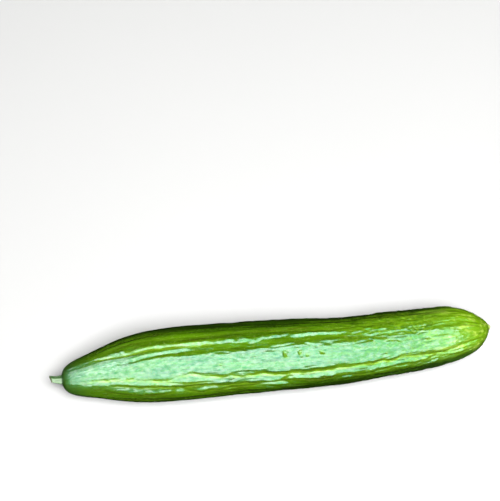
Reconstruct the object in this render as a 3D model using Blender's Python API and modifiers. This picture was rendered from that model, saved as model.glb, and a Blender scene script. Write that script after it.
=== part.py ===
"""A long hothouse cucumber, picked with a short stub of its stalk, lying on its side.

The fruit is one turned skin, set along a gently bowed spine and worked over with ribs, furrows and
puckers. The stalk stub is a five-ridged stem whose root sits in a shallow socket in the shoulder.
Stations are measured along the fruit from its stem end. Angles run round it from the top, positive
towards the back and negative towards the front. The floor is at z = 0.
"""

import math
import random

import bmesh
import bpy
from mathutils import Vector, noise

MM = 0.001

# The silhouette of the fruit, in millimetres: station, radius
PROFILE_MM = (
    (0.0, 4.2),
    (0.6, 5.6),
    (2.2, 8.1),
    (4.8, 10.2),
    (8.5, 12.0),
    (14.0, 13.9),
    (24.0, 16.7),
    (36.0, 20.2),
    (48.0, 22.9),
    (62.0, 24.7),
    (83.0, 25.4),
    (110.0, 24.9),
    (145.0, 24.5),
    (180.0, 23.7),
    (215.0, 22.2),
    (245.0, 20.9),
    (262.0, 20.2),
    (271.0, 19.4),
    (279.0, 17.4),
    (286.0, 14.7),
    (292.0, 11.1),
    (296.4, 7.2),
    (299.0, 3.6),
)
# The corky scar of the flower, which ends the profile on the axis
SCAR_MM = ((299.7, 2.1), (300.5, 1.8), (300.9, 1.1), (300.7, 0.5), (300.6, 0.0))
SOCKET_RADIUS = 3.8 * MM
SOCKET_DEPTH = 2.4 * MM
FULL_RADIUS = 25.6 * MM

# How the spine leaves the straight line, in millimetres: station, offset towards the back
SPINE_BACK_MM = (
    (0.0, -1.8),
    (4.0, -1.9),
    (10.0, -1.7),
    (18.0, -1.5),
    (26.0, -1.2),
    (38.0, -1.3),
    (60.0, -1.9),
    (83.0, -2.3),
    (110.0, -3.2),
    (142.0, -4.4),
    (175.0, -5.9),
    (200.0, -6.8),
    (226.0, -5.7),
    (243.0, -5.1),
    (260.0, -4.0),
    (276.0, -3.0),
    (288.0, -3.1),
    (293.0, -3.0),
    (298.0, -2.0),
    (301.0, -0.8),
)
# Height of the spine over the floor, in millimetres. The belly is pressed flat where this is under the radius
SPINE_HEIGHT_MM = (
    (0.0, 18.4),
    (24.0, 20.4),
    (48.0, 23.0),
    (62.0, 24.2),
    (83.0, 24.9),
    (110.0, 24.4),
    (145.0, 24.0),
    (180.0, 23.2),
    (215.0, 21.7),
    (245.0, 20.4),
    (262.0, 19.8),
    (279.0, 18.4),
    (292.0, 17.4),
    (301.0, 17.2),
)

# The lines that stand out on the near side: station in millimetres, angle and half-width in degrees.
# A furrow has a positive depth and a ridge a negative one. A reach over 1 makes the wall on that side
# that much gentler
FIRST_CREST = {
    "points": (
        (32, 13.5, 3), (54, 12, 3), (74, 11.5, 3), (96, 10, 3), (109, 13.5, 3), (124, 15, 3), (134, 11, 3),
        (158, 15, 3), (172, 12, 3), (185, 14, 3), (201, 18, 3), (227, 11, 3), (249, 6.5, 3),
    ),
    "depth": -0.5 * MM,
    "start": 20.0,
    "end": 232.0,
}
FIRST_FURROW = {
    "points": (
        (24, 12.7, 2.4), (41, 5, 2.4), (51, 5, 2.4), (63, 7.4, 2.6), (74, 6, 2.8), (92, 6, 3), (112, 8, 4),
    ),
    "depth": 0.6 * MM,
    "start": 18.0,
    "end": 116.0,
}
WIDE_FURROW = {
    "points": (
        (36, -7.7, 2.4), (45, -8.8, 2.4), (54, -6.9, 2.4), (64, -5, 2.4), (74, -4, 2.8), (84, -3.4, 4.5),
        (95, -1, 6.8), (107, 1, 7.2), (123, 1, 7.5), (134, 0.5, 6), (148, 4, 6.5), (167, 4.3, 5.6),
        (186, 6, 5.6), (209, 3, 5.5), (230, 1.5, 5),
    ),
    "depth": 0.85 * MM,
    "start": 30.0,
    "end": 232.0,
    "power": 3.4,
}
BLOSSOM_FURROW = {
    "points": ((208, 1, 4), (230, 0, 4), (252, 0, 4), (290, 5, 4)),
    "depth": 0.6 * MM,
    "start": 212.0,
    "end": 297.0,
    "back_reach": 3.2,
}
SHOULDER_FURROW = {
    "points": (
        (12, -40, 3), (27, -38.8, 3), (42, -39.4, 3), (49, -40.4, 3), (58, -43, 3), (66, -45.5, 3), (78, -47, 3),
    ),
    "depth": 0.8 * MM,
    "start": 8.0,
    "end": 84.0,
    "front_reach": 1.8,
    "back_reach": 1.6,
}
THIRD_FURROW = {
    "points": (
        (82, -40.5, 3), (91, -41, 3), (104, -48, 3.8), (125, -51, 4.2), (138, -51.9, 4.2), (144, -54.5, 4),
        (165, -55.2, 4.2), (177, -55, 4), (193, -52.6, 3.6), (206, -51.8, 3.4), (220, -52.7, 3.4),
        (227, -54.5, 3.4), (232, -49, 3.4), (245, -53.5, 3.4), (262, -57.5, 3.6), (276, -49.9, 3.6), (296, -45, 4),
    ),
    "depth": 1.3 * MM,
    "start": 72.0,
    "end": 297.0,
    "front_reach": 2.2,
    "back_reach": 1.7,
}
FOURTH_FURROW = {
    "points": (
        (24, -51, 2.4), (35, -52, 2.4), (48, -54, 2.4), (60, -58, 2.4), (70, -60, 2.4), (84, -62.5, 2.4),
        (98, -63, 2.4), (106, -66, 2.4), (112, -69.5, 2.4), (120, -67, 2.4), (137, -69.5, 2.4), (150, -70, 2.4),
    ),
    "depth": 1.45 * MM,
    "start": 30.0,
    "end": 160.0,
    "front_reach": 3.9,
    "back_reach": 1.6,
}
SHORT_FURROW = {
    "points": (
        (60, -54, 2.2), (66, -51.5, 2.2), (71, -50.4, 2.2), (78, -52.5, 2.2), (86, -54.5, 2.2), (101, -56, 2.2),
    ),
    "depth": 0.6 * MM,
    "start": 50.0,
    "end": 110.0,
    "front_reach": 2.0,
}
LOWER_FURROW = {
    "points": (
        (28, -66, 3.5), (35, -71, 3.5), (49, -74, 3.5), (68, -75, 3.5), (75, -71, 3.5), (79, -63, 3.5),
        (84, -71, 4), (88, -76, 4), (106, -78, 4), (120, -75, 4), (137, -73, 4), (147, -69, 4), (154, -62, 4),
        (160, -68, 4), (174, -74, 4), (183, -73.5, 4), (188, -63, 4), (198, -69.5, 4), (208, -74.5, 4),
        (225, -70, 4), (243, -71, 4), (255, -65, 4), (280, -68, 4),
    ),
    "depth": 0.85 * MM,
    "start": 22.0,
    "end": 290.0,
    "front_reach": 3.6,
}
TIP_CREST = {
    "points": ((247, 28, 3), (260, 29, 3), (273, 24.5, 3), (286, 27, 3.5), (299, 22, 4)),
    "depth": -0.25 * MM,
    "start": 232.0,
    "end": 312.0,
}
# The furrows of the other sides follow a rule: they share the rest of the way round, each moved by a
# seeded draw
FAR_ANGLES = (24, 43, 64, 88, 112, 133, 158, 181, 203, 226, 249, 268)
FAR_DRIFT = 5.0
FAR_SEED = 7
# The belly, which lay on the ground as it grew, is calmer over this many degrees
BELLY_WIDTH = 20.0

RINGS = 52
SIDES = 100
# The sides lie closest together on the near side, by this share, round this angle
SIDE_CROWDING = 0.34
CROWDED_ANGLE = -28.0

STUB_LENGTH = 7.6 * MM
STUB_ROOT_RADIUS = 3.05 * MM
STUB_NECK_RADIUS = 2.3 * MM
STUB_END_RADIUS = 2.2 * MM
STUB_RIDGES = 5
STUB_RIDGE_SHARE = 0.1
STUB_SIDES = 40
STUB_RINGS = 12
STUB_LIFT = 1.0 * MM
KNIFE_SLANT = 26.0
ROOT_GAP = 0.35 * MM


def hermite_at(stations, at):
    """The value at one station of a smooth curve through (station, value) pairs."""
    last = len(stations) - 1
    if at <= stations[0][0]:
        return stations[0][1]
    if at >= stations[last][0]:
        return stations[last][1]
    i = max(k for k in range(last) if stations[k][0] <= at)

    def slope(k):
        before, after = stations[max(k - 1, 0)], stations[min(k + 1, last)]
        return (after[1] - before[1]) / (after[0] - before[0])

    (a, low), (b, high) = stations[i], stations[i + 1]
    span = b - a
    t = (at - a) / span
    return (
        (2 * t**3 - 3 * t**2 + 1) * low
        + (t**3 - 2 * t**2 + t) * span * slope(i)
        + (3 * t**2 - 2 * t**3) * high
        + (t**3 - t**2) * span * slope(i + 1)
    )


def smooth_step(low, high, value):
    """0 at low, 1 at high, and smooth between them."""
    t = min(max((value - low) / (high - low), 0.0), 1.0)
    return t * t * (3 - 2 * t)


def turn_between(a, b):
    """The signed angle in degrees from b to a, the short way round."""
    return (a - b + 180.0) % 360.0 - 180.0


def far_furrows():
    """Furrows for the sides that lie away from the viewer."""
    draw = random.Random(FAR_SEED)
    furrows = []
    for angle in FAR_ANGLES:
        width = draw.uniform(3.4, 5.6)
        points = tuple((s, angle + draw.uniform(-1, 1) * FAR_DRIFT, width) for s in range(20, 300, 34))
        depth = draw.uniform(0.4, 0.85) * MM
        start = draw.uniform(14, 40)
        end = draw.uniform(270, 297)
        furrows.append({"points": points, "depth": depth, "start": start, "end": end})
    return furrows


SKIN_LINES = [
    FIRST_CREST,
    FIRST_FURROW,
    WIDE_FURROW,
    BLOSSOM_FURROW,
    SHOULDER_FURROW,
    THIRD_FURROW,
    FOURTH_FURROW,
    SHORT_FURROW,
    LOWER_FURROW,
    TIP_CREST,
    *far_furrows(),
]


def line_depth(line, station, angle):
    """How far one line sinks the skin there. A furrow's shoulders stand slightly proud."""
    middle = hermite_at([(p[0], p[1]) for p in line["points"]], station)
    width = hermite_at([(p[0], p[2]) for p in line["points"]], station)
    across = turn_between(angle, middle) / width
    across /= line.get("front_reach", 1.0) if across < 0.0 else line.get("back_reach", 1.0)
    if abs(across) > 5.0:
        return 0.0
    along = smooth_step(line["start"], line["start"] + 18.0, station)
    along *= 1.0 - smooth_step(line["end"] - 18.0, line["end"], station)
    waver = 0.9 + 0.45 * noise.noise(Vector((station / 21.0, line["depth"] / MM * 9.0, line["start"])))
    valley = math.exp(-(abs(across) ** line.get("power", 2.0))) - 0.25 * math.exp(-((across / 2.2) ** 2))
    return line["depth"] * along * waver * valley


def skin_relief(station, angle):
    """How far ribs, furrows and puckers move the skin outwards."""
    turn = math.radians(angle)
    around = Vector((0.0, math.sin(turn), math.cos(turn)))
    lobes = 0.3 * MM * math.cos(3 * turn + 0.5)
    lumps = 0.45 * MM * noise.noise(around * 0.9 + Vector((station / 42.0, 5.2, 0.0)))
    rib = abs(noise.noise(around * 3.6 + Vector((station / 70.0, 0.0, 8.3))))
    pucker = abs(noise.noise(around * 5.5 + Vector((station / 20.0, 2.7, 0.0))))
    roughness = smooth_step(30.0, 150.0, station)
    raised = (0.9 * rib * (0.5 + 0.5 * roughness) + 0.45 * pucker * roughness) * MM
    sunk = sum(line_depth(line, station, angle) for line in SKIN_LINES)
    belly = math.exp(-((turn_between(angle, 180.0) / BELLY_WIDTH) ** 2))
    return (1.0 - 0.75 * belly) * (lobes + lumps + raised - 0.3 * MM - sunk)


def profile_points(rings):
    """Points of the turned profile as (station, radius) in metres, from the socket to the scar."""
    outline = [Vector((s, r)) for s, r in PROFILE_MM]
    travelled = [0.0]
    for a, b in zip(outline, outline[1:]):
        travelled.append(travelled[-1] + (b - a).length)
    stations = list(zip(travelled, (p.x for p in outline)))
    radii = list(zip(travelled, (p.y for p in outline)))
    points = [(SOCKET_DEPTH, 0.0), (SOCKET_DEPTH, SOCKET_RADIUS), (0.5 * MM, SOCKET_RADIUS)]
    for k in range(rings):
        # Rings lie closer together towards both ends
        t = k / (rings - 1)
        eased = t - 0.085 * math.sin(2 * math.pi * t)
        at = eased * travelled[-1]
        points.append((hermite_at(stations, at) * MM, hermite_at(radii, at) * MM))
    points += [(s * MM, r * MM) for s, r in SCAR_MM]
    return points


def turned_mesh(name, points, sides):
    """A closed mesh from (distance along X, radius) points, turned round X by a Screw modifier."""
    profile = bpy.data.meshes.new(name + "_profile")
    edges = [(k, k + 1) for k in range(len(points) - 1)]
    profile.from_pydata([(along, 0.0, radius) for along, radius in points], edges, [])
    blank = bpy.data.objects.new(name + "_blank", profile)
    bpy.context.scene.collection.objects.link(blank)
    screw = blank.modifiers.new("turn", "SCREW")
    screw.axis = "X"
    screw.steps = screw.render_steps = sides
    screw.use_merge_vertices = True
    screw.merge_threshold = 0.00001
    mesh = bpy.data.meshes.new_from_object(blank.evaluated_get(bpy.context.evaluated_depsgraph_get()))
    mesh.name = name
    bpy.data.objects.remove(blank)
    bpy.data.meshes.remove(profile)
    return mesh


def cut_flat(bm, point, outward):
    """Slices off what lies past a plane and closes the cut with one flat face."""
    geometry = bm.verts[:] + bm.edges[:] + bm.faces[:]
    cut = bmesh.ops.bisect_plane(
        bm, geom=geometry, dist=1e-6, plane_co=point, plane_no=outward, clear_outer=True
    )
    rim = [e for e in cut["geom_cut"] if isinstance(e, bmesh.types.BMEdge)]
    bmesh.ops.holes_fill(bm, edges=rim, sides=0)


def finish_mesh(bm, mesh):
    """Merges the poles, turns the faces outwards and shades the mesh smooth."""
    bmesh.ops.remove_doubles(bm, verts=bm.verts[:], dist=2e-6)
    bmesh.ops.recalc_face_normals(bm, faces=bm.faces[:])
    bm.to_mesh(mesh)
    bm.free()
    mesh.shade_smooth()
    mesh.set_sharp_from_angle(angle=math.radians(40))


def material(name, colour, roughness):
    """A Principled material with one colour and roughness."""
    made = bpy.data.materials.new(name)
    made.use_nodes = True
    shader = made.node_tree.nodes["Principled BSDF"]
    shader.inputs["Base Color"].default_value = (*colour, 1.0)
    shader.inputs["Roughness"].default_value = roughness
    shader.inputs["Metallic"].default_value = 0.0
    return made


def place_object(name, mesh, made_of, parent, collection):
    """Puts a finished mesh in the scene as a named object under its parent."""
    mesh.materials.clear()
    mesh.materials.append(made_of)
    placed = bpy.data.objects.new(name, mesh)
    placed.parent = parent
    collection.objects.link(placed)
    return placed


def make_fruit(parent, collection):
    """The fruit: a turned skin, worked into ribs and furrows, with a flat place on its belly."""
    mesh = turned_mesh("fruit", profile_points(RINGS), SIDES)
    bm = bmesh.new()
    bm.from_mesh(mesh)
    for vertex in bm.verts:
        station = vertex.co.x / MM
        radius = math.hypot(vertex.co.y, vertex.co.z)
        turn = math.atan2(vertex.co.y, vertex.co.z)
        turn -= SIDE_CROWDING * math.sin(turn - math.radians(CROWDED_ANGLE))
        fade = smooth_step(SOCKET_RADIUS, 0.6 * FULL_RADIUS, radius)
        radius += fade * skin_relief(station, math.degrees(turn))
        vertex.co.y = hermite_at(SPINE_BACK_MM, station) * MM + radius * math.sin(turn)
        height = hermite_at(SPINE_HEIGHT_MM, station) * MM + radius * math.cos(turn)
        # The belly is pressed flat where it would dip under the floor
        vertex.co.z = max(height, 0.0)
    finish_mesh(bm, mesh)
    return place_object("fruit", mesh, material("waxy_skin", (0.06, 0.19, 0.01), 0.3), parent, collection)


def stub_radius(share):
    """Radius of the stub at a share of its way from root to cut end."""
    return hermite_at(
        ((0.0, STUB_ROOT_RADIUS), (0.25, STUB_ROOT_RADIUS), (0.65, STUB_NECK_RADIUS), (1.0, STUB_END_RADIUS)), share
    )


def make_stub(parent, collection):
    """The stalk stub: five ridges, a straight root in the socket, and a slanted knife cut."""
    root = SOCKET_DEPTH - ROOT_GAP
    whole = root + STUB_LENGTH + 2 * MM
    points = [(root, 0.0)]
    for k in range(STUB_RINGS + 1):
        share = k / STUB_RINGS
        points.append((root - share * whole, stub_radius(share)))
    points.append((root - whole, 0.0))
    mesh = turned_mesh("stem_stub", points, STUB_SIDES)
    bm = bmesh.new()
    bm.from_mesh(mesh)
    for vertex in bm.verts:
        turn = math.atan2(vertex.co.y, vertex.co.z)
        ridge = 1.0 + STUB_RIDGE_SHARE * math.cos(STUB_RIDGES * turn)
        vertex.co.y *= ridge
        vertex.co.z *= ridge
        bent = (max(-vertex.co.x, 0.0) / STUB_LENGTH) ** 2 * STUB_LIFT
        vertex.co.y += bent
        vertex.co.z += bent
    slant = math.radians(KNIFE_SLANT)
    outward = Vector((-math.cos(slant), -0.81 * math.sin(slant), 0.58 * math.sin(slant)))
    cut_flat(bm, (-STUB_LENGTH, 0.0, 0.0), outward)
    finish_mesh(bm, mesh)
    stub = place_object("stem_stub", mesh, material("stalk", (0.26, 0.45, 0.14), 0.5), parent, collection)
    stub.location = (0.0, SPINE_BACK_MM[0][1] * MM, SPINE_HEIGHT_MM[0][1] * MM)
    return stub


def centre_on_floor(parent, parts):
    """Moves the parent so that the middle of the whole footprint stands at the origin."""
    bpy.context.view_layer.update()
    corners = [part.matrix_world @ vertex.co for part in parts for vertex in part.data.vertices]
    for axis in range(2):
        reach = [corner[axis] for corner in corners]
        parent.location[axis] = -(min(reach) + max(reach)) / 2
    bpy.context.view_layer.update()


def main():
    for old in list(bpy.data.objects):
        bpy.data.objects.remove(old)
    collection = bpy.data.collections.new("cucumber")
    bpy.context.scene.collection.children.link(collection)
    whole = bpy.data.objects.new("cucumber", None)
    collection.objects.link(whole)
    parts = [make_fruit(whole, collection), make_stub(whole, collection)]
    centre_on_floor(whole, parts)


main()
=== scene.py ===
"""A long hothouse cucumber on a pale studio floor.

The fruit is one closed skin. It is spun from its silhouette, worked into ribs, furrows, puckers and
blisters, and then laid along its bowed spine. A short ribbed stub of the stalk stands in its shoulder.
Stations are millimetres from the stem end. Angles run round the fruit from its top, in degrees, positive
towards the back and negative towards the front.
"""

from __future__ import annotations

import logging
import math
import random
from bisect import bisect_right
from collections.abc import Callable, Iterable
from dataclasses import dataclass, field
from enum import Enum
from functools import cached_property

import bmesh
import bpy
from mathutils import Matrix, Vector, noise

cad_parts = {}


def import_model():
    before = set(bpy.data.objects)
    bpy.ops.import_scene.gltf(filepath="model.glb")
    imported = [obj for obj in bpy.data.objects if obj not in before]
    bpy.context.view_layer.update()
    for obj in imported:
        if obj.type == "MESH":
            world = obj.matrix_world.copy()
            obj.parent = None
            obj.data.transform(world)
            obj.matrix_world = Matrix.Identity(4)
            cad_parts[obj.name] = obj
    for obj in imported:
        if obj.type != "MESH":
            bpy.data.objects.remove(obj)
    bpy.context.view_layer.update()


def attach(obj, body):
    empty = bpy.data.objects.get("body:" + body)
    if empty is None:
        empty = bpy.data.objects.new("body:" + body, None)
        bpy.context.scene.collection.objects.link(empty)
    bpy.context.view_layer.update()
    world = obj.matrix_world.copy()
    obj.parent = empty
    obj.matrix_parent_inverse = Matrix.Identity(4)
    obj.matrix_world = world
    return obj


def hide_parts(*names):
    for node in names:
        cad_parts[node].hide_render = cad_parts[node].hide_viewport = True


LOG = logging.getLogger("cucumber")

MM = 0.001
ROOT_BODY = "root"
# Where the stem end of the fruit's own frame lies in the shared one
FRAME_SHIFT = Vector((-0.1460, 0.00317, 0.0))
# The socket in the shoulder that the stalk's root sits in, in millimetres
SOCKET_RADIUS = 3.8
SOCKET_DEPTH = 2.4

Pair = tuple[float, float]
Colour = tuple[float, float, float]
Socket = bpy.types.NodeSocket


def smooth_step(low: float, high: float, value: float) -> float:
    """Rises smoothly from 0 at low to 1 at high.

    Args:
        low: The value where the result is 0.
        high: The value where the result is 1.
        value: The value to place between them.

    Returns:
        A share from 0 to 1.
    """
    share = min(max((value - low) / (high - low), 0.0), 1.0)
    return share * share * (3 - 2 * share)


def turn_between(first: float, second: float) -> float:
    """Measures the signed angle from the second to the first, the short way round, in degrees."""
    return (first - second + 180.0) % 360.0 - 180.0


def hump(value: float, middle: float, width: float) -> float:
    """Gives a smooth hump: 1 at its middle, about a third at its width from there, and 0 far away."""
    return math.exp(-(((value - middle) / width) ** 2))


def waver(station: float, length: float, first: float, second: float) -> float:
    """Gives a random waver along the fruit, about -1 to 1, with swings of a length and two seeds."""
    return noise.noise(Vector((station / length, first, second)))


@dataclass(frozen=True)
class SmoothLine:
    """A smooth curve through named (station, value) pairs."""

    stations: tuple[Pair, ...]

    def slope(self, index: int) -> float:
        """Finds the slope at one of the pairs, given by its number, from the pairs on both sides."""
        before = self.stations[max(index - 1, 0)]
        after = self.stations[min(index + 1, len(self.stations) - 1)]
        return (after[1] - before[1]) / (after[0] - before[0])

    def at(self, station: float) -> float:
        """Reads the curve.

        Args:
            station: Where to read it.

        Returns:
            The value there. Past either end it is the value at that end.
        """
        if station <= self.stations[0][0]:
            return self.stations[0][1]
        if station >= self.stations[-1][0]:
            return self.stations[-1][1]
        index = bisect_right(self.stations, station, key=lambda pair: pair[0]) - 1
        (start, low), (end, high) = self.stations[index], self.stations[index + 1]
        span = end - start
        t = (station - start) / span
        return (
            (2 * t**3 - 3 * t**2 + 1) * low
            + (t**3 - 2 * t**2 + t) * span * self.slope(index)
            + (3 * t**2 - 2 * t**3) * high
            + (t**3 - t**2) * span * self.slope(index + 1)
        )


class Stretch(Enum):
    """Stretches over which a trait of the skin, or the painted shade on its far sides, sets in or dies out,
    in millimetres from the stem end.
    """

    NECK = (4.0, 26.0)
    SHOULDER = (15.0, 95.0)
    ROUGH = (30.0, 150.0)
    FAN = (35.0, 85.0)
    MIDDLE = (60.0, 140.0)
    PAINTED_SHADE_SPREADS = (100.0, 190.0)
    RIPENING = (150.0, 301.0)
    BLOSSOM = (170.0, 250.0)
    BLISTERED = (248.0, 278.0)
    PAINTED_BACK_SHADE = (255.0, 290.0)
    TIP = (258.0, 290.0)
    PAINTED_FRONT_SHADE = (291.0, 300.0)
    SCAR = (298.6, 299.8)

    def reached(self, station: float) -> float:
        """Gives a share that rises from 0 before the stretch to 1 after it."""
        return smooth_step(self.value[0], self.value[1], station)

    def left(self, station: float) -> float:
        """Gives a share that falls from 1 before the stretch to 0 after it."""
        return 1.0 - self.reached(station)


@dataclass(frozen=True)
class Lumps:
    """A field of smooth lumps in the skin: how fine they are round it, how long, and two seeds."""

    fineness: float
    length: float
    seeds: Pair

    def at(self, station: float, around: Vector, sway: float = 0.0) -> float:
        """Reads the field at one place.

        Args:
            station: Millimetres from the stem end.
            around: The unit direction of the place from the axis.
            sway: How far the lumps are pushed along the fruit, in lengths.

        Returns:
            A height from about -1 to 1.
        """
        return noise.noise(around * self.fineness + Vector((station / self.length + sway, *self.seeds)))


BROAD_LUMPS = Lumps(0.9, 42.0, (5.2, 0.0))
RIBS = Lumps(3.6, 70.0, (0.0, 8.3))
PUCKERS = Lumps(5.5, 20.0, (2.7, 0.0))
SWAY = Lumps(2.1, 16.0, (9.7, 1.4))
CELLS = Lumps(9.5, 13.0, (1.9, 4.4))
FINE_FOLDS = Lumps(17.0, 6.5, (6.1, 0.0))
BLISTERS = Lumps(13.0, 3.2, (0.0, 2.2))
SWELLINGS = Lumps(5.5, 4.6, (5.5, 0.7))
GRIT = Lumps(20.0, 2.5, (3.3, 8.8))
TIP_RAYS = Lumps(7.0, 90.0, (4.1, 0.3))
SHOULDER_RAYS = Lumps(6.5, 120.0, (1.3, 6.6))


@dataclass(frozen=True)
class SkinLine:
    """One long line along the skin: a furrow where its depth is positive, a ridge where it is negative.

    Its reaches are how many times wider it is on the side towards the front or the back. Ragged is how
    far its route jogs, in degrees, and broken is how much of its depth comes and goes.
    """

    points: tuple[tuple[float, float, float], ...]
    depth: float
    start: float
    end: float
    crease: float = 0.0
    power: float = 2.0
    front_reach: float = 1.0
    back_reach: float = 1.0
    ragged: float = 0.0
    broken: float = 0.45
    fade: float = 18.0
    lip_height: float = 0.25
    lip_reach: float = 2.2

    @cached_property
    def path(self) -> SmoothLine:
        """The line's angle along the fruit, from its (station, angle, width) points."""
        return SmoothLine(tuple((station, angle) for station, angle, _ in self.points))

    @cached_property
    def width(self) -> SmoothLine:
        """The line's width along the fruit, in degrees."""
        return SmoothLine(tuple((station, width) for station, _, width in self.points))

    def middle(self, station: float) -> float:
        """Finds where the line runs at a station.

        Args:
            station: Millimetres from the stem end.

        Returns:
            Its angle in degrees, with its small jogs.
        """
        jog = waver(station, 7.0, self.start, 3.1) + 0.6 * waver(station, 2.6, self.end, 7.7)
        return self.path.at(station) + self.ragged * jog

    def strength(self, station: float) -> float:
        """Tells how much of the line's depth is there at a station.

        Args:
            station: Millimetres from the stem end.

        Returns:
            A share that fades out at both ends and wavers between them.
        """
        shown = smooth_step(self.start, self.start + self.fade, station)
        shown *= 1.0 - smooth_step(self.end - self.fade, self.end, station)
        change = 0.45 * waver(station, 21.0, self.depth * 9.0, self.start)
        change += self.broken * waver(station, 5.5, self.depth * 7.0, self.end)
        return shown * max(0.9 + change, 0.0)

    def section(self, across: float) -> float:
        """Gives the cross-section of the line. A furrow's lips stand slightly proud.

        Args:
            across: Distance from the line, in widths. It is negative on the front side.

        Returns:
            A share of the depth.
        """
        across /= self.front_reach if across < 0.0 else self.back_reach
        return math.exp(-(abs(across) ** self.power)) - self.lip_height * hump(across, 0.0, self.lip_reach)


LineThere = tuple[SkinLine, float, float, float]


@dataclass(frozen=True)
class Dimple:
    """One short dent across a rib. Its floor falls towards the back and then steps up again.

    Its front edge, deepest place and back edge are given in shares of its reach.
    """

    station: float
    angle: float
    length: float
    reach: float
    depth: float
    front: float = -1.0
    deepest: float = 0.75
    back: float = 1.1

    def sunk(self, station: float, angle: float) -> float:
        """Gives the dent's depth at one place.

        Args:
            station: Millimetres from the stem end.
            angle: Degrees from the top.

        Returns:
            How far the skin is sunk, in millimetres.
        """
        along = (station - self.station) / self.length
        if abs(along) > 3.0:
            return 0.0
        across = turn_between(angle, self.angle) / self.reach
        fallen = min(max((across - self.front) / (self.deepest - self.front), 0.0), 1.0)
        fallen *= 1.0 - smooth_step(self.deepest, self.back, across)
        return self.depth * fallen * math.exp(-(along**4))


@dataclass
class SkinRelief:
    """Everything that moves the skin in or out of the turned shape."""

    lines: list[SkinLine]
    dimples: list[Dimple]
    belly_width: float = 20.0
    belly_calm: float = 0.75
    crease_width: float = 1.1
    crease_power: float = 1.3
    full_crease: float = 0.2
    found: dict[int, list[LineThere]] = field(default_factory=dict)

    def lines_at(self, station: float) -> list[LineThere]:
        """Finds where each line runs at a station, once for each ring.

        Args:
            station: Millimetres from the stem end.

        Returns:
            The lines with their angle, their width and their strength there.
        """
        key = round(station * 1000)
        if key not in self.found:
            self.found[key] = []
            for line in self.lines:
                strength = line.strength(station)
                if strength > 0.0:
                    self.found[key].append((line, line.middle(station), line.width.at(station), strength))
        return self.found[key]

    def lined(self, station: float, angle: float) -> tuple[float, float]:
        """Adds up the lines at one place.

        Args:
            station: Millimetres from the stem end.
            angle: Degrees from the top.

        Returns:
            How far the skin is sunk in millimetres, and how much it belongs to a furrow's pale edge.
        """
        sunk = 0.0
        edge = 0.0
        for line, middle, width, strength in self.lines_at(station):
            aside = turn_between(angle, middle)
            across = aside / width
            if abs(across) > 5.0 * max(line.front_reach, line.back_reach):
                continue
            sharp = math.exp(-((abs(aside) / self.crease_width) ** self.crease_power))
            sunk += strength * (line.depth * line.section(across) + line.crease * sharp)
            if line.crease > 0.0:
                # The lip lies just in front of the crease, and the wall rises behind it
                lip = hump(aside, -0.9, 1.8)
                wall = 0.6 * hump(aside, 1.6, 3.2)
                edge = max(edge, strength * min(line.crease / self.full_crease, 1.0) * max(lip, wall))
        return sunk, min(edge, 1.0)

    def ribs(self, station: float, around: Vector, turn: float) -> float:
        """Gives the ribs and lumps that the solid model shares.

        Args:
            station: Millimetres from the stem end.
            around: The unit direction of the place from the axis.
            turn: The same direction as an angle in radians.

        Returns:
            How far the skin stands out, in millimetres.
        """
        lobes = 0.3 * math.cos(3 * turn + 0.5)
        lumps = 0.45 * BROAD_LUMPS.at(station, around)
        rib = abs(RIBS.at(station, around))
        pucker = abs(PUCKERS.at(station, around))
        rough = Stretch.ROUGH.reached(station)
        return lobes + lumps + 0.9 * rib * (0.5 + 0.5 * rough) + 0.45 * pucker * rough - 0.3

    def wrinkles(self, station: float, around: Vector) -> tuple[float, float]:
        """Gives the fine wrinkles, which grow into blisters towards the flower end.

        Args:
            station: Millimetres from the stem end.
            around: The unit direction of the place from the axis.

        Returns:
            How far the skin stands out in millimetres, and how much it belongs to a crack between blisters.
        """
        middle = Stretch.MIDDLE.reached(station)
        blossom = Stretch.BLOSSOM.reached(station)
        blistered = blossom * Stretch.BLISTERED.left(station)
        sway = SWAY.at(station, around)
        puffed = min(abs(CELLS.at(station, around, 0.5 * sway)) * 3.0, 1.0) ** 0.7
        swollen = min(abs(SWELLINGS.at(station, around, 0.6 * sway)) * 3.2, 1.0) ** 0.8
        raised = (
            0.3 * Stretch.FAN.left(station) * (abs(SHOULDER_RAYS.at(station, around)) - 0.25)
            + 0.34 * middle * (puffed - 0.6)
            + (0.06 + 0.08 * middle) * FINE_FOLDS.at(station, around)
            + (0.04 + 0.08 * blossom) * BLISTERS.at(station, around)
            + (0.05 + 0.06 * middle + 0.05 * blossom) * GRIT.at(station, around)
            + 0.28 * blistered * (swollen - 0.6)
            + 0.9 * Stretch.TIP.reached(station) * (abs(TIP_RAYS.at(station, around)) - 0.25)
        )
        return raised, 0.5 * blistered * (1.0 - smooth_step(0.0, 0.5, swollen))

    def at(self, station: float, turn: float) -> tuple[float, float]:
        """Gives the whole relief at one place.

        Args:
            station: Millimetres from the stem end.
            turn: Radians from the top.

        Returns:
            How far the skin stands out in millimetres, and how pale its edges and cracks make it, 0 to 1.
        """
        angle = math.degrees(turn)
        around = Vector((0.0, math.sin(turn), math.cos(turn)))
        sunk, edge = self.lined(station, angle)
        wrinkled, cracked = self.wrinkles(station, around)
        raised = self.ribs(station, around, turn) + wrinkled
        dented = sum(dimple.sunk(station, angle) for dimple in self.dimples)
        belly = hump(turn_between(angle, 180.0), 0.0, self.belly_width)
        out = (1.0 - self.belly_calm * belly) * (raised - sunk - dented)
        return out, max(edge, cracked, min(0.3 * dented, 0.3))


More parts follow.
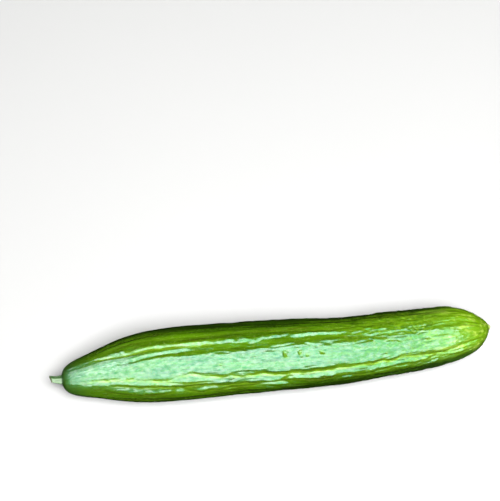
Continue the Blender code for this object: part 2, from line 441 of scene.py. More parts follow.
# Lines of the near side, as (station, angle, width)
FIRST_CREST = (
    (32, 13.5, 3), (54, 12, 3), (74, 11.5, 3), (96, 10, 3), (109, 13.5, 3), (124, 15, 3), (134, 11, 3),
    (158, 15, 3), (172, 12, 3), (185, 14, 3), (201, 18, 3), (227, 11, 3), (249, 6.5, 3),
)
FIRST_FURROW = (
    (24, 12.7, 2.4), (41, 5, 2.4), (51, 5, 2.4), (63, 7.4, 2.6), (74, 6, 2.8), (92, 6, 3), (112, 8, 4),
)
WIDE_FURROW = (
    (36, -7.7, 2.4), (45, -8.8, 2.4), (54, -6.9, 2.4), (64, -5, 2.4), (74, -4, 2.8), (84, -3.4, 4.5),
    (95, -1, 6.8), (107, 1, 7.2), (123, 1, 7.5), (134, 0.5, 6), (148, 4, 6.5), (167, 4.3, 5.6),
    (186, 6, 5.6), (209, 3, 5.5), (230, 1.5, 5),
)
BLOSSOM_FURROW = ((208, 1, 4), (230, 0, 4), (252, 0, 4), (290, 5, 4))
SHOULDER_FURROW = (
    (12, -40, 3), (27, -38.8, 3), (42, -39.4, 3), (49, -40.4, 3), (58, -43, 3), (66, -45.5, 3),
    (78, -47, 3),
)
THIRD_FURROW = (
    (82, -40.5, 3), (91, -41, 3), (104, -48, 3.8), (125, -51, 4.2), (138, -51.9, 4.2), (144, -54.5, 4),
    (165, -55.2, 4.2), (177, -55, 4), (193, -52.6, 3.6), (206, -51.8, 3.4), (220, -52.7, 3.4),
    (227, -54.5, 3.4), (232, -49, 3.4), (245, -53.5, 3.4), (262, -57.5, 3.6), (276, -49.9, 3.6),
    (296, -45, 4),
)
FOURTH_FURROW = (
    (24, -51, 2.4), (35, -52, 2.4), (48, -54, 2.4), (60, -58, 2.4), (70, -60, 2.4), (84, -62.5, 2.4),
    (98, -63, 2.4), (106, -66, 2.4), (112, -69.5, 2.4), (120, -67, 2.4), (137, -69.5, 2.4), (150, -70, 2.4),
)
SHORT_FURROW = (
    (60, -54, 2.2), (66, -51.5, 2.2), (71, -50.4, 2.2), (78, -52.5, 2.2), (86, -54.5, 2.2), (101, -56, 2.2),
)
LOWER_FURROW = (
    (28, -66, 3.5), (35, -71, 3.5), (49, -74, 3.5), (68, -75, 3.5), (75, -71, 3.5), (79, -63, 3.5),
    (84, -71, 4), (88, -76, 4), (106, -78, 4), (120, -75, 4), (137, -73, 4), (147, -69, 4), (154, -62, 4),
    (160, -68, 4), (174, -74, 4), (183, -73.5, 4), (188, -63, 4), (198, -69.5, 4), (208, -74.5, 4),
    (225, -70, 4), (243, -71, 4), (255, -65, 4), (280, -68, 4),
)
TIP_CREST = ((247, 28, 3), (260, 29, 3), (273, 24.5, 3), (286, 27, 3.5), (299, 22, 4))
# The furrows of the other sides share the rest of the way round
FAR_ANGLES = (24, 43, 64, 88, 112, 133, 158, 181, 203, 226, 249, 268)
FAR_STATIONS = range(20, 300, 34)
FAR_SEED = 7


def far_lines() -> list[SkinLine]:
    """Lays out the furrows of the hidden sides by a seeded rule."""
    draw = random.Random(FAR_SEED)
    lines = []
    for angle in FAR_ANGLES:
        width = draw.uniform(3.4, 5.6)
        points = tuple((station, angle + draw.uniform(-1, 1) * 5.0, width) for station in FAR_STATIONS)
        depth = draw.uniform(0.4, 0.85)
        start = draw.uniform(14, 40)
        end = draw.uniform(270, 297)
        lines.append(SkinLine(points, depth, start, end, crease=0.04))
    return lines


def grown_relief() -> SkinRelief:
    """Lays out the relief of the whole skin: the near side's lines and dimples, and the far lines."""
    shoulder = {"crease": 0.2, "front_reach": 1.8, "back_reach": 1.6, "ragged": 2.2, "broken": 0.8}
    fourth = {"crease": 0.12, "front_reach": 3.9, "back_reach": 1.6, "ragged": 2.0}
    lines = [
        SkinLine(FIRST_CREST, -0.5, 20.0, 232.0, ragged=4.0, broken=1.5),
        SkinLine(FIRST_FURROW, 0.6, 18.0, 116.0, crease=0.15, ragged=0.6),
        SkinLine(WIDE_FURROW, 0.85, 30.0, 232.0, power=3.4, ragged=1.0),
        SkinLine(BLOSSOM_FURROW, 0.6, 212.0, 297.0, back_reach=3.2, ragged=2.0),
        SkinLine(SHOULDER_FURROW, 0.8, 8.0, 84.0, **shoulder),
        SkinLine(THIRD_FURROW, 1.3, 72.0, 297.0, crease=0.25, front_reach=2.2, back_reach=1.7, ragged=2.2),
        SkinLine(FOURTH_FURROW, 1.45, 30.0, 160.0, **fourth),
        SkinLine(SHORT_FURROW, 0.6, 50.0, 110.0, crease=0.12, front_reach=2.0, ragged=1.2),
        SkinLine(LOWER_FURROW, 0.85, 22.0, 290.0, crease=0.06, front_reach=3.6, ragged=2.4),
        SkinLine(TIP_CREST, -0.25, 232.0, 312.0),
    ]
    dimples = [
        Dimple(153.2, -22.0, 1.5, 8.0, 2.6),
        Dimple(163.3, -21.5, 1.4, 6.5, 2.2),
        Dimple(167.8, -25.0, 1.5, 4.5, 1.6),
        Dimple(177.6, -21.0, 1.5, 4.0, 1.4),
        Dimple(109.0, -30.3, 1.4, 4.2, 1.5),
    ]
    return SkinRelief(lines + far_lines(), dimples)



class Nodes:
    """A material's node tree, with short ways to add what the finishes need."""

    def __init__(self, tree: bpy.types.NodeTree, laid_on: str) -> None:
        """Takes the tree and the attribute to lay patterns on, or nothing for the object's own place."""
        self.tree = tree
        if laid_on:
            self.place = self.attribute(laid_on, "Vector")
        else:
            self.place = self.add("ShaderNodeTexCoord").outputs["Object"]

    def add(self, kind: str, **settings: object) -> bpy.types.Node:
        """Adds a node of a kind, with its own settings by name."""
        node = self.tree.nodes.new(kind)
        for name, value in settings.items():
            setattr(node, name, value)
        return node

    def link(self, source: Socket, target: Socket) -> None:
        """Joins two sockets."""
        self.tree.links.new(source, target)

    def attribute(self, name: str, wanted: str = "Fac") -> Socket:
        """Reads an attribute of the mesh. The wanted output is Fac for a number and Vector for a place."""
        return self.add("ShaderNodeAttribute", attribute_name=name).outputs[wanted]

    def noise(self, along: float, scale: float, detail: float = 3.0, roughness: float = 0.5) -> Socket:
        """Adds a noise pattern.

        Args:
            along: How much it is squeezed along X. The smaller this is, the longer its streaks are.
            scale: How many of its lumps fit in a metre.
            detail: How many finer layers it has.
            roughness: How strong those layers are.

        Returns:
            The pattern, about 0 to 1.
        """
        mapping = self.add("ShaderNodeMapping")
        mapping.inputs["Scale"].default_value = (along, 1.0, 1.0)
        self.link(self.place, mapping.inputs["Vector"])
        texture = self.add("ShaderNodeTexNoise")
        texture.inputs["Scale"].default_value = scale
        texture.inputs["Detail"].default_value = detail
        texture.inputs["Roughness"].default_value = roughness
        self.link(mapping.outputs["Vector"], texture.inputs["Vector"])
        return texture.outputs["Fac"]

    def ramp(self, value: Socket, low: float, high: float) -> Socket:
        """Stretches a value smoothly, so that the low one becomes 0 and the high one becomes 1."""
        node = self.add("ShaderNodeMapRange", interpolation_type="SMOOTHSTEP")
        node.inputs["From Min"].default_value = low
        node.inputs["From Max"].default_value = high
        self.link(value, node.inputs["Value"])
        return node.outputs["Result"]

    def reckon(self, operation: str, first: Socket, second: Socket | float) -> Socket:
        """Works out one step of arithmetic, such as MULTIPLY, on a value and a second one or a number."""
        node = self.add("ShaderNodeMath", operation=operation)
        self.link(first, node.inputs[0])
        if isinstance(second, float):
            node.inputs[1].default_value = second
        else:
            self.link(second, node.inputs[1])
        return node.outputs[0]

    def times(self, first: Socket, second: Socket | float) -> Socket:
        """Multiplies two values."""
        return self.reckon("MULTIPLY", first, second)

    def plus(self, first: Socket, second: Socket | float) -> Socket:
        """Adds two values."""
        return self.reckon("ADD", first, second)

    def larger(self, first: Socket, second: Socket) -> Socket:
        """Takes the larger of two values."""
        return self.reckon("MAXIMUM", first, second)

    def mix(self, share: Socket, first: Socket | Colour, second: Socket | Colour) -> Socket:
        """Mixes two colours.

        Args:
            share: How much of the second colour shows.
            first: A colour, or a socket that holds one.
            second: A colour, or a socket that holds one.

        Returns:
            The mixed colour.
        """
        node = self.add("ShaderNodeMix", data_type="RGBA")
        self.link(share, node.inputs["Factor"])
        for name, colour in (("A", first), ("B", second)):
            socket = next(s for s in node.inputs if s.name == name and s.type == "RGBA")
            if isinstance(colour, tuple):
                socket.default_value = (*colour, 1.0)
            else:
                self.link(colour, socket)
        return next(s for s in node.outputs if s.type == "RGBA")

    def bump(self, height: Socket, distance: float, strength: float, under: Socket | None = None) -> Socket:
        """Turns a height into a fine bump.

        Args:
            height: The height, about 0 to 1.
            distance: How tall 1 stands, in metres.
            strength: How much of it is used.
            under: The normal that it is laid over, if it isn't the mesh's own.

        Returns:
            The bumped normal.
        """
        node = self.add("ShaderNodeBump")
        node.inputs["Distance"].default_value = distance
        node.inputs["Strength"].default_value = strength
        self.link(height, node.inputs["Height"])
        if under is not None:
            self.link(under, node.inputs["Normal"])
        return node.outputs["Normal"]


def blank_material(name: str, laid_on: str = "") -> tuple[bpy.types.Material, Nodes, bpy.types.Node]:
    """Makes a material with only a Principled shader.

    Args:
        name: The material's name.
        laid_on: The attribute that its patterns are laid out on, or nothing for the object's own place.

    Returns:
        The material, its nodes, and the shader.
    """
    material = bpy.data.materials.new(name)
    material.use_nodes = True
    return material, Nodes(material.node_tree, laid_on), material.node_tree.nodes["Principled BSDF"]


@dataclass(frozen=True)
class Pattern:
    """A noise pattern of the skin. One with a high shows only what rises from its low to its high."""

    along: float
    scale: float
    detail: float = 3.0
    roughness: float = 0.5
    low: float = 0.0
    high: float = 0.0

    def on(self, nodes: Nodes) -> Socket:
        """Adds the pattern to a material's nodes and gives how strong it is at each place."""
        pattern = nodes.noise(self.along, self.scale, self.detail, self.roughness)
        return nodes.ramp(pattern, self.low, self.high) if self.high else pattern


@dataclass(frozen=True)
class WaxySkin:
    """The fruit's skin: dark green under clear wax, lime in its creases, yellow-green at the flower end,
    with painted shade darkening its far sides and round the stalk's neck.
    """

    deep: Colour = (0.036, 0.105, 0.0006)
    fresh: Colour = (0.098, 0.250, 0.0012)
    lime: Colour = (0.340, 0.590, 0.020)
    olive: Colour = (0.070, 0.085, 0.001)
    # The colour of the painted shade on the far sides and round the neck
    shaded: Colour = (0.011, 0.038, 0.0003)
    speckle: Colour = (0.420, 0.560, 0.130)
    tip: Colour = (0.180, 0.370, 0.003)
    streak: Colour = (0.400, 0.600, 0.070)
    scar: Colour = (0.620, 0.780, 0.200)
    gloss_tint: Colour = (0.12, 1.0, 0.90)
    bands: Pattern = Pattern(0.09, 210.0, 4.0, 0.6, 0.36, 0.68)
    patches: Pattern = Pattern(1.0, 60.0, 3.0, 0.5, 0.35, 0.7)
    worn_spots: Pattern = Pattern(0.75, 260.0, 6.0, 0.78, 0.45, 0.54)
    hairs: Pattern = Pattern(0.14, 1100.0, 3.0, 0.7, 0.42, 0.62)
    threads: Pattern = Pattern(0.1, 820.0, 2.0, 0.6, 0.5, 0.62)
    brown_streaks: Pattern = Pattern(0.06, 520.0, 2.0, 0.5, 0.56, 0.7)
    speckles: Pattern = Pattern(0.6, 850.0, 3.0, 0.75, 0.52, 0.74)
    ripe_streaks: Pattern = Pattern(0.05, 240.0, 2.0, 0.6, 0.4, 0.6)
    rays: Pattern = Pattern(0.05, 330.0, 3.0, 0.6, 0.5, 0.66)
    wax_film: Pattern = Pattern(0.45, 560.0, 5.0, 0.7, 0.28, 0.72)
    dullness: Pattern = Pattern(0.09, 420.0)
    grain: Pattern = Pattern(0.45, 700.0, 5.0, 0.75)
    crumbs: Pattern = Pattern(1.0, 1700.0, 2.0, 0.6)

    def coloured(self, nodes: Nodes, worn: Socket) -> Socket:
        """Lays the skin's colours over one another.

        Args:
            nodes: The material's nodes.
            worn: How much of the wax is worn off.

        Returns:
            The colour.
        """
        blossom = nodes.attribute("blossom")
        ripening = nodes.times(nodes.ramp(blossom, 0.1, 0.6), 0.35)
        ripe = nodes.plus(nodes.times(self.ripe_streaks.on(nodes), 0.45), 0.55)
        # Painted shade: the far sides towards both rims and the neck round the stalk are darkened towards
        # the shaded colour, standing in for shade
        painted_shade_share = nodes.larger(nodes.attribute("painted_far_shade"), nodes.times(nodes.attribute("neck"), 0.6))
        layers = (
            (self.fresh, self.bands.on(nodes), 0.9),
            (self.fresh, self.patches.on(nodes), 0.3),
            (self.fresh, nodes.larger(nodes.attribute("shoulder"), ripening), 0.6),
            (self.lime, worn, 0.17),
            (self.fresh, self.hairs.on(nodes), 0.6),
            (self.deep, self.threads.on(nodes), 0.45),
            (self.lime, nodes.attribute("crease"), 0.85),
            (self.olive, self.brown_streaks.on(nodes), 0.5),
            (self.speckle, self.speckles.on(nodes), 0.3),
            (self.tip, nodes.times(ripe, nodes.ramp(blossom, 0.72, 1.0)), 1.0),
            (self.streak, nodes.times(self.rays.on(nodes), nodes.ramp(blossom, 0.62, 0.95)), 1.0),
            # Painted shade over the far sides and the neck
            (self.shaded, painted_shade_share, 0.88),
            (self.scar, nodes.attribute("scar"), 1.0),
        )
        colour = self.deep
        for over, mask, share in layers:
            colour = nodes.mix(nodes.times(mask, share), colour, over)
        return colour

    def roughened(self, nodes: Nodes) -> Socket:
        """Gives the roughness: duller at the shoulder, round the stalk and towards the flower end."""
        roughness = nodes.plus(nodes.times(self.dullness.on(nodes), 0.14), 0.13)
        duller = (
            (nodes.ramp(nodes.attribute("blossom"), 0.3, 0.9), 0.1),
            (nodes.attribute("shoulder"), 0.06),
            (nodes.attribute("neck"), 0.11),
        )
        for mask, more in duller:
            roughness = nodes.plus(nodes.times(mask, more), roughness)
        return roughness

    def bumped(self, nodes: Nodes) -> Socket:
        """Gives the normal: the fine grain over the mesh, and crumbs over that in the creases."""
        grained = nodes.bump(self.grain.on(nodes), 0.00016, 0.85)
        crumbled = nodes.times(self.crumbs.on(nodes), nodes.attribute("crease"))
        return nodes.bump(crumbled, 0.0004, 1.0, grained)

    def waxed(self, nodes: Nodes, worn: Socket) -> Socket:
        """Spreads the wax, thinner where it is worn and round the stalk.

        Args:
            nodes: The material's nodes.
            worn: How much of the wax is worn off.

        Returns:
            The coat's weight.
        """
        wax = self.wax_film.on(nodes)
        for mask, lost in ((worn, 1.0), (nodes.attribute("neck"), 0.45)):
            wax = nodes.times(wax, nodes.plus(nodes.times(mask, -lost), 1.0))
        return wax

    def material(self) -> bpy.types.Material:
        """Builds the skin's material, which reads the attributes that the fruit's mesh carries."""
        material, nodes, shader = blank_material("waxy_skin", "skin_place")
        from_middle = nodes.ramp(nodes.attribute("blossom"), 0.0, 0.35)
        worn = nodes.times(self.worn_spots.on(nodes), from_middle)
        nodes.link(self.coloured(nodes, worn), shader.inputs["Base Color"])
        nodes.link(self.roughened(nodes), shader.inputs["Roughness"])
        nodes.link(self.bumped(nodes), shader.inputs["Normal"])
        nodes.link(self.waxed(nodes, worn), shader.inputs["Coat Weight"])
        shader.inputs["IOR"].default_value = 1.5
        shader.inputs["Specular IOR Level"].default_value = 0.62
        shader.inputs["Specular Tint"].default_value = (*self.gloss_tint, 1.0)
        shader.inputs["Coat Roughness"].default_value = 0.1
        shader.inputs["Coat IOR"].default_value = 1.78
        return material


@dataclass(frozen=True)
class StalkSkin:
    """The stalk's pale green rind, with fibres along it."""

    rind: Colour = (0.065, 0.150, 0.045)
    pale: Colour = (0.150, 0.280, 0.120)
    dry: Colour = (0.06, 0.08, 0.05)

    def material(self) -> bpy.types.Material:
        """Builds the rind's material."""
        material, nodes, shader = blank_material("stalk_rind")
        fibres = nodes.noise(0.12, 1500.0, 3.0, 0.6)
        colour = nodes.mix(nodes.ramp(fibres, 0.35, 0.65), self.rind, self.pale)
        colour = nodes.mix(nodes.times(nodes.attribute("dryness"), 0.8), colour, self.dry)
        nodes.link(colour, shader.inputs["Base Color"])
        nodes.link(nodes.bump(fibres, 0.0002, 0.6), shader.inputs["Normal"])
        shader.inputs["Roughness"].default_value = 0.26
        shader.inputs["Specular IOR Level"].default_value = 0.7
        return material


@dataclass(frozen=True)
class CutPith:
    """The knife cut across the stalk: pale, slightly browned pith."""

    pith: Colour = (0.27, 0.38, 0.13)
    brown: Colour = (0.11, 0.15, 0.05)

    def material(self) -> bpy.types.Material:
        """Builds the pith's material."""
        material, nodes, shader = blank_material("cut_pith")
        pores = nodes.noise(1.0, 2200.0, 2.0)
        colour = nodes.mix(nodes.ramp(pores, 0.4, 0.65), self.pith, self.brown)
        nodes.link(colour, shader.inputs["Base Color"])
        nodes.link(nodes.bump(pores, 0.0002, 0.5), shader.inputs["Normal"])
        shader.inputs["Roughness"].default_value = 0.7
        return material


@dataclass(frozen=True)
class PaleFloor:
    """The studio floor: plain pale paper."""

    colour: Colour = (0.66, 0.66, 0.655)
    darker: Colour = (0.6501, 0.6501, 0.645175)

    def material(self) -> bpy.types.Material:
        """Builds the floor's material."""
        material, nodes, shader = blank_material("floor_paper")
        tone = nodes.ramp(nodes.noise(1.0, 3.0, 2.0), 0.2, 0.8)
        nodes.link(nodes.mix(tone, self.colour, self.darker), shader.inputs["Base Color"])
        shader.inputs["Roughness"].default_value = 0.9
        shader.inputs["Specular IOR Level"].default_value = 0.1
        return material


def spun_line(points: int, place: Callable[[float], Pair]) -> bmesh.types.BMesh:
    """Starts a bmesh as one line along X, cut into even steps and moved onto a profile.

    Args:
        points: How many points the line gets.
        place: A function from a share along the line, 0 to 1, to a (distance, radius) pair in metres.

    Returns:
        The bmesh that holds the profile in the XZ plane.
    """
    bm = bmesh.new()
    ends = [bm.verts.new((0.0, 0.0, 0.0)), bm.verts.new((1.0, 0.0, 0.0))]
    bmesh.ops.subdivide_edges(bm, edges=[bm.edges.new(ends)], cuts=points - 2)
    for vertex in bm.verts:
        along, radius = place(vertex.co.x)
        vertex.co = Vector((along, 0.0, radius))
    return bm


def spin_shut(bm: bmesh.types.BMesh, sides: int) -> None:
    """Spins a profile once round X and closes its seam and poles.

    Args:
        bm: The bmesh that holds the profile.
        sides: How many steps the turn takes.
    """
    bmesh.ops.spin(
        bm,
        geom=bm.verts[:] + bm.edges[:],
        cent=(0.0, 0.0, 0.0),
        axis=(1.0, 0.0, 0.0),
        angle=math.tau,
        steps=sides,
        use_merge=True,
    )
    bmesh.ops.remove_doubles(bm, verts=bm.verts[:], dist=2e-6)
    bmesh.ops.recalc_face_normals(bm, faces=bm.faces[:])


def placed(
    bm: bmesh.types.BMesh, name: str, offset: Vector, materials: list[bpy.types.Material]
) -> bpy.types.Object:
    """Turns a bmesh into a smooth-shaded object at the origin, with its place in its mesh.

    Args:
        bm: The finished bmesh, which is freed.
        name: The object's name.
        offset: How far its mesh moves.
        materials: Its materials, in the order of their slots.

    Returns:
        The new object.
    """
    bmesh.ops.translate(bm, vec=offset, verts=bm.verts[:])
    mesh = bpy.data.meshes.new(name)
    bm.to_mesh(mesh)
    bm.free()
    mesh.shade_smooth()
    for material in materials:
        mesh.materials.append(material)
    made = bpy.data.objects.new(name, mesh)
    bpy.context.scene.collection.objects.link(made)
    return made


@dataclass
class Spine:
    """The bowed line that the fruit grew along."""

    back: SmoothLine = SmoothLine(
        (
            (0.0, -1.8), (4.0, -1.9), (10.0, -1.7), (18.0, -1.5), (26.0, -1.2), (38.0, -1.3), (60.0, -1.9),
            (83.0, -2.3), (110.0, -3.2), (142.0, -4.4), (175.0, -5.9), (200.0, -6.8), (226.0, -5.7),
            (243.0, -5.1), (260.0, -4.0), (276.0, -3.0), (288.0, -3.1), (293.0, -3.0), (298.0, -2.0),
            (301.0, -0.8),
        )
    )
    height: SmoothLine = SmoothLine(
        (
            (0.0, 18.4), (24.0, 20.4), (48.0, 23.0), (62.0, 24.2), (83.0, 24.9), (110.0, 24.4),
            (145.0, 24.0), (180.0, 23.2), (215.0, 21.7), (245.0, 20.4), (262.0, 19.8), (279.0, 18.4),
            (292.0, 17.4), (301.0, 17.2),
        )
    )

    def at(self, station: float) -> Pair:
        """Gives how far the spine lies to the back and over the floor at a station, in metres."""
        return self.back.at(station) * MM, self.height.at(station) * MM


@dataclass
class Fruit:
    """The whole grown fruit, one closed skin."""

    relief: SkinRelief
    spine: Spine
    outline: tuple[Pair, ...] = (
        (0.0, 4.2), (0.6, 5.6), (2.2, 8.1), (4.8, 10.2), (8.5, 12.0), (14.0, 13.9), (24.0, 16.7),
        (36.0, 20.2), (48.0, 22.9), (62.0, 24.7), (83.0, 25.4), (110.0, 24.9), (145.0, 24.5), (180.0, 23.7),
        (215.0, 22.2), (245.0, 20.9), (262.0, 20.2), (271.0, 19.4), (279.0, 17.4), (286.0, 14.7),
        (292.0, 11.1), (296.4, 7.2), (299.0, 3.6),
    )
    scar: tuple[Pair, ...] = ((299.7, 2.1), (300.5, 1.8), (300.9, 1.1), (300.7, 0.5), (300.6, 0.0))
    socket_brim: float = 0.5
    full_radius: float = 25.6
    relief_brim: float = 0.6
    crowding: float = 0.07
    rings: int = 396
    sides: int = 236
    shares: tuple[str, ...] = ("crease", "blossom", "scar", "painted_far_shade", "shoulder", "neck")

    @cached_property
    def profile(self) -> tuple[SmoothLine, SmoothLine, float]:
        """Measures the outline along its own length.

        Returns:
            Lines from distance travelled to station and to radius, and the whole distance.
        """
        travelled = [0.0]
        for first, second in zip(self.outline, self.outline[1:]):
            travelled.append(travelled[-1] + math.hypot(second[0] - first[0], second[1] - first[1]))
        stations = SmoothLine(tuple(zip(travelled, (pair[0] for pair in self.outline))))
        radii = SmoothLine(tuple(zip(travelled, (pair[1] for pair in self.outline))))
        return stations, radii, travelled[-1]

    def place_on_profile(self, share: float) -> Pair:
        """Finds a point of the whole profile: the socket, the outline, then the scar.

        Args:
            share: How far along the row of rings it is, 0 to 1.

        Returns:
            Its distance along the fruit and its radius, in metres.
        """
        index = round(share * (self.rings - 1))
        socket = ((SOCKET_DEPTH, 0.0), (SOCKET_DEPTH, SOCKET_RADIUS), (self.socket_brim, SOCKET_RADIUS))
        if index < len(socket):
            return socket[index][0] * MM, socket[index][1] * MM
        after = index - (self.rings - len(self.scar))
        if after >= 0:
            return self.scar[after][0] * MM, self.scar[after][1] * MM
        stations, radii, whole = self.profile
        part = (index - len(socket)) / (self.rings - len(socket) - len(self.scar) - 1)
        # Rings lie closer together towards both ends
        travelled = (part - self.crowding * math.sin(math.tau * part)) * whole
        return stations.at(travelled) * MM, radii.at(travelled) * MM

    def painted_shade_at(self, station: float, angle: float) -> float:
        """Tells how much painted shade a place gets round the far side of the fruit, darkening the back
        towards the top rim and the front towards the lower rim.

        Args:
            station: Millimetres from the stem end.
            angle: Degrees from the top, positive towards the back.

        Returns:
            A share from 0 on the near side to 1 on the far side.
        """
        if angle >= 0.0:
            # The painted shade on the back comes nearest to the top round station 130
            withdrawn = 15.0 * (1.0 - hump(station, 130.0, 55.0))
            return Stretch.PAINTED_BACK_SHADE.left(station) * smooth_step(15.0, 46.0, angle - withdrawn)
        painted_shade_share = Stretch.PAINTED_SHADE_SPREADS.reached(station)
        start = 80.0 - 18.0 * painted_shade_share
        end = 115.0 - 22.0 * painted_shade_share
        return Stretch.PAINTED_FRONT_SHADE.left(station) * smooth_step(start, end, -angle)

    def shape(self) -> bmesh.types.BMesh:
        """Spins the skin and works in its relief.

        Returns:
            The bmesh of the skin, with its attributes.
        """
        bm = spun_line(self.rings, self.place_on_profile)
        spin_shut(bm, self.sides)
        places = bm.verts.layers.float_vector.new("skin_place")
        layers = {name: bm.verts.layers.float.new(name) for name in self.shares}
        for vertex in bm.verts:
            station = vertex.co.x / MM
            radius = math.hypot(vertex.co.y, vertex.co.z)
            turn = math.atan2(vertex.co.y, vertex.co.z)
            vertex[places] = vertex.co.copy()
            vertex[layers["blossom"]] = Stretch.RIPENING.reached(station)
            vertex[layers["scar"]] = Stretch.SCAR.reached(station)
            vertex[layers["shoulder"]] = Stretch.SHOULDER.left(station)
            vertex[layers["neck"]] = Stretch.NECK.left(station)
            # Painted shade on the far sides, laid into the colour
            vertex[layers["painted_far_shade"]] = self.painted_shade_at(station, math.degrees(turn))
            # The relief dies out towards the socket and the scar
            shown = smooth_step(SOCKET_RADIUS * MM, self.relief_brim * self.full_radius * MM, radius)
            raised, edge = self.relief.at(station, turn)
            vertex[layers["crease"]] = shown * edge
            radius += shown * raised * MM
            across, height = self.spine.at(station)
            vertex.co.y = across + radius * math.sin(turn)
            vertex.co.z = max(height + radius * math.cos(turn), 0.0)
        return bm

    def build(self, offset: Vector) -> None:
        """Makes the fruit and lets it stand for its solid.

        Args:
            offset: How far the fruit moves from its own frame into the shared one.
        """
        made = placed(self.shape(), "cucumber_fruit", offset, [WaxySkin().material()])
        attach(made, ROOT_BODY)
        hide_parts("fruit")
        LOG.info("fruit: %d faces", len(made.data.polygons))


@dataclass
class StalkStub:
    """The short cut stub of the stalk, with five ridges."""

    spine: Spine
    length: float = 7.6
    spare: float = 2.0
    gap: float = 0.35
    root_radius: float = 3.05
    neck_radius: float = 2.3
    end_radius: float = 2.2
    ridges: int = 5
    ridge_share: float = 0.1
    fibre_share: float = 0.05
    lift: float = 1.0
    slant: float = 26.0
    rind: float = 0.25
    pith_rim: float = 0.5
    pith_sink: float = 0.15
    rings: int = 60
    sides: int = 90

    def radius_at(self, share: float) -> float:
        """Gives the stub's radius in millimetres at a share of its way from root to cut end."""
        line = SmoothLine(
            (
                (0.0, self.root_radius),
                (0.25, self.root_radius),
                (0.65, self.neck_radius),
                (1.0, self.end_radius),
            )
        )
        return line.at(share)

    def place_on_profile(self, share: float) -> Pair:
        """Finds a point of the profile, from the root to past the cut.

        Args:
            share: How far along the row of rings it is, 0 to 1.

        Returns:
            Its distance along the fruit and its radius, in metres.
        """
        root = SOCKET_DEPTH - self.gap
        whole = root + self.length + self.spare
        index = round(share * (self.rings - 1))
        if index == 0:
            return root * MM, 0.0
        if index == self.rings - 1:
            return (root - whole) * MM, 0.0
        part = (index - 1) / (self.rings - 3)
        return (root - part * whole) * MM, self.radius_at(part) * MM

    def shape(self) -> bmesh.types.BMesh:
        """Spins the stub, works in its ridges and cuts its end.

        Returns:
            The bmesh of the stub, whose cut face has the second material.
        """
        bm = spun_line(self.rings, self.place_on_profile)
        spin_shut(bm, self.sides)
        dryness = bm.verts.layers.float.new("dryness")
        for vertex in bm.verts:
            turn = math.atan2(vertex.co.y, vertex.co.z)
            outside = max(-vertex.co.x, 0.0) / (self.length * MM)
            fibre = noise.noise(Vector((vertex.co.x * 250.0, math.sin(turn) * 3.0, math.cos(turn) * 3.0)))
            ridge = self.ridge_share * math.cos(self.ridges * turn)
            swell = 1.0 + ridge + self.fibre_share * fibre * min(outside, 1.0)
            vertex.co.y *= swell
            vertex.co.z *= swell
            bent = outside**2 * self.lift * MM
            vertex.co.y += bent
            vertex.co.z += bent
            vertex[dryness] = smooth_step(0.85, 1.12, outside) * (0.5 + 0.5 * math.cos(turn - 2.2))
        # The knife's cut leans towards the front and up
        slant = math.radians(self.slant)
        outward = Vector((-math.cos(slant), -0.81 * math.sin(slant), 0.58 * math.sin(slant)))
        cut = bmesh.ops.bisect_plane(
            bm,
            geom=bm.verts[:] + bm.edges[:] + bm.faces[:],
            dist=1e-7,
            plane_co=(-self.length * MM, 0.0, 0.0),
            plane_no=outward,
            clear_outer=True,
        )
        rim = [edge for edge in cut["geom_cut"] if isinstance(edge, bmesh.types.BMEdge)]
        face = bmesh.ops.holes_fill(bm, edges=rim, sides=0)["faces"][0]
        face.material_index = 1
        bmesh.ops.inset_region(bm, faces=[face], thickness=self.rind * MM, depth=0.0)
        bmesh.ops.inset_region(bm, faces=[face], thickness=self.pith_rim * MM, depth=-self.pith_sink * MM)
        bmesh.ops.recalc_face_normals(bm, faces=bm.faces[:])
        return bm

    def build(self, offset: Vector) -> None:
        """Makes the stub and lets it stand for its solid.

        Args:
            offset: How far the fruit moves from its own frame into the shared one.
        """
        across, height = self.spine.at(0.0)
        seat = offset + Vector((0.0, across, height))
        finishes = [StalkSkin().material(), CutPith().material()]
        made = placed(self.shape(), "cucumber_stalk", seat, finishes)
        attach(made, ROOT_BODY)
        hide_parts("stem_stub")
        LOG.info("stalk stub: %d faces", len(made.data.polygons))


class LightUse(Enum):
    """What a light does: it is mirrored in the wax, or it lights up colours."""

    SHINE = "shine"
    SHADE = "shade"


@dataclass(frozen=True)
class Softbox:
    """One soft rectangular studio light."""

    name: str
    place: tuple[float, float, float]
    aim: tuple[float, float, float]
    width: float
    depth: float
    power: float
    use: LightUse

    def hang(self) -> None:
        """Hangs the light."""
        light = bpy.data.lights.new(self.name, "AREA")
        light.shape = "RECTANGLE"
        light.size = self.width
        light.size_y = self.depth
        light.energy = self.power
        hung = bpy.data.objects.new(self.name, light)
        hung.location = self.place
        back = Vector(self.place) - Vector(self.aim)
        hung.rotation_euler = back.to_track_quat("Z", "Y").to_euler()
        hung.visible_glossy = self.use is LightUse.SHINE
        hung.visible_diffuse = self.use is LightUse.SHADE
        bpy.context.scene.collection.objects.link(hung)


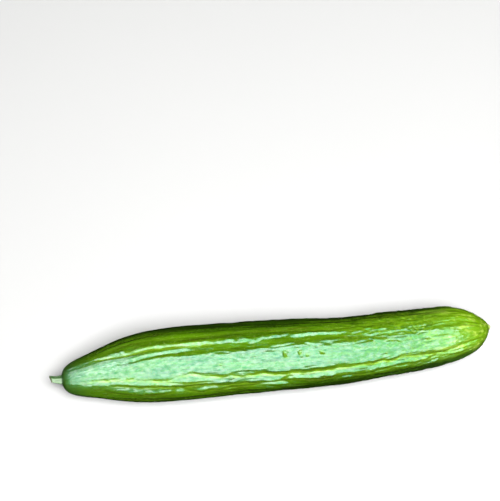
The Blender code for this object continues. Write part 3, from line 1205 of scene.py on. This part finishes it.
@dataclass
class Studio:
    """The floor, the lights and the camera."""

    azimuth: float = -7.435
    elevation: float = 65.0
    distance: float = 0.8552
    aim: tuple[float, float, float] = (-0.0051, 0.0815, 0.020)
    lens: float = 85.0
    sensor: float = 36.0
    floor_reach: float = 4.0
    floor_drop: float = 0.00005
    room: Colour = (0.8, 1.0, 0.4)
    room_strength: float = 0.01

    def lay_floor(self) -> None:
        """Lays the plain floor."""
        bm = bmesh.new()
        bmesh.ops.create_grid(bm, x_segments=8, y_segments=8, size=self.floor_reach)
        # It lies a hair under the belly, so that the two faces don't coincide
        floor = placed(bm, "studio_floor", Vector((0.0, 0.0, -self.floor_drop)), [PaleFloor().material()])
        # The paper throws no light back at the fruit
        floor.visible_glossy = False
        floor.visible_diffuse = False

    def light(self) -> None:
        """Hangs the softboxes and sets the dim room behind them."""
        shine, shade = LightUse.SHINE, LightUse.SHADE
        boxes = (
            Softbox("wide_softbox", (-0.475, -0.797, 1.031), (-0.475, 0.0, 0.02), 4.15, 2.83, 221.0, shine),
            Softbox("side_softbox", (-1.330, 0.450, 0.93), (-0.12, 0.0, 0.02), 1.0, 1.0, 14.8, shine),
            Softbox("top_light", (0.2, -0.55, 1.5), (0.0, 0.0, 0.02), 0.9, 0.9, 50.0, shade),
        )
        for box in boxes:
            box.hang()
        world = bpy.data.worlds.new("dim_room")
        world.use_nodes = True
        background = world.node_tree.nodes["Background"]
        background.inputs["Color"].default_value = (*self.room, 1.0)
        background.inputs["Strength"].default_value = self.room_strength
        bpy.context.scene.world = world

    def set_camera(self) -> None:
        """Sets the camera at the photograph's viewing angle."""
        azimuth = math.radians(self.azimuth)
        elevation = math.radians(self.elevation)
        back = Vector(
            (
                math.sin(azimuth) * math.cos(elevation),
                -math.cos(azimuth) * math.cos(elevation),
                math.sin(elevation),
            )
        )
        camera = bpy.data.cameras.new("photo_camera")
        camera.lens = self.lens
        camera.sensor_width = self.sensor
        stand = bpy.data.objects.new("photo_camera", camera)
        stand.location = Vector(self.aim) + back * self.distance
        stand.rotation_euler = back.to_track_quat("Z", "Y").to_euler()
        bpy.context.scene.collection.objects.link(stand)
        bpy.context.scene.camera = stand

    def build(self) -> None:
        """Sets up the whole studio."""
        self.lay_floor()
        self.light()
        self.set_camera()
        bpy.context.scene.view_settings.view_transform = "Standard"
        LOG.info("studio: floor, lights and camera")


def main() -> None:
    """Builds the fruit, the stalk stub and the studio, and logs how many faces the fruit and the stub have.
    """
    logging.basicConfig(level=logging.INFO, format="%(name)s: %(message)s")
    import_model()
    spine = Spine()
    Fruit(grown_relief(), spine).build(FRAME_SHIFT)
    StalkStub(spine).build(FRAME_SHIFT)
    Studio().build()


if __name__ == "__main__":
    main()
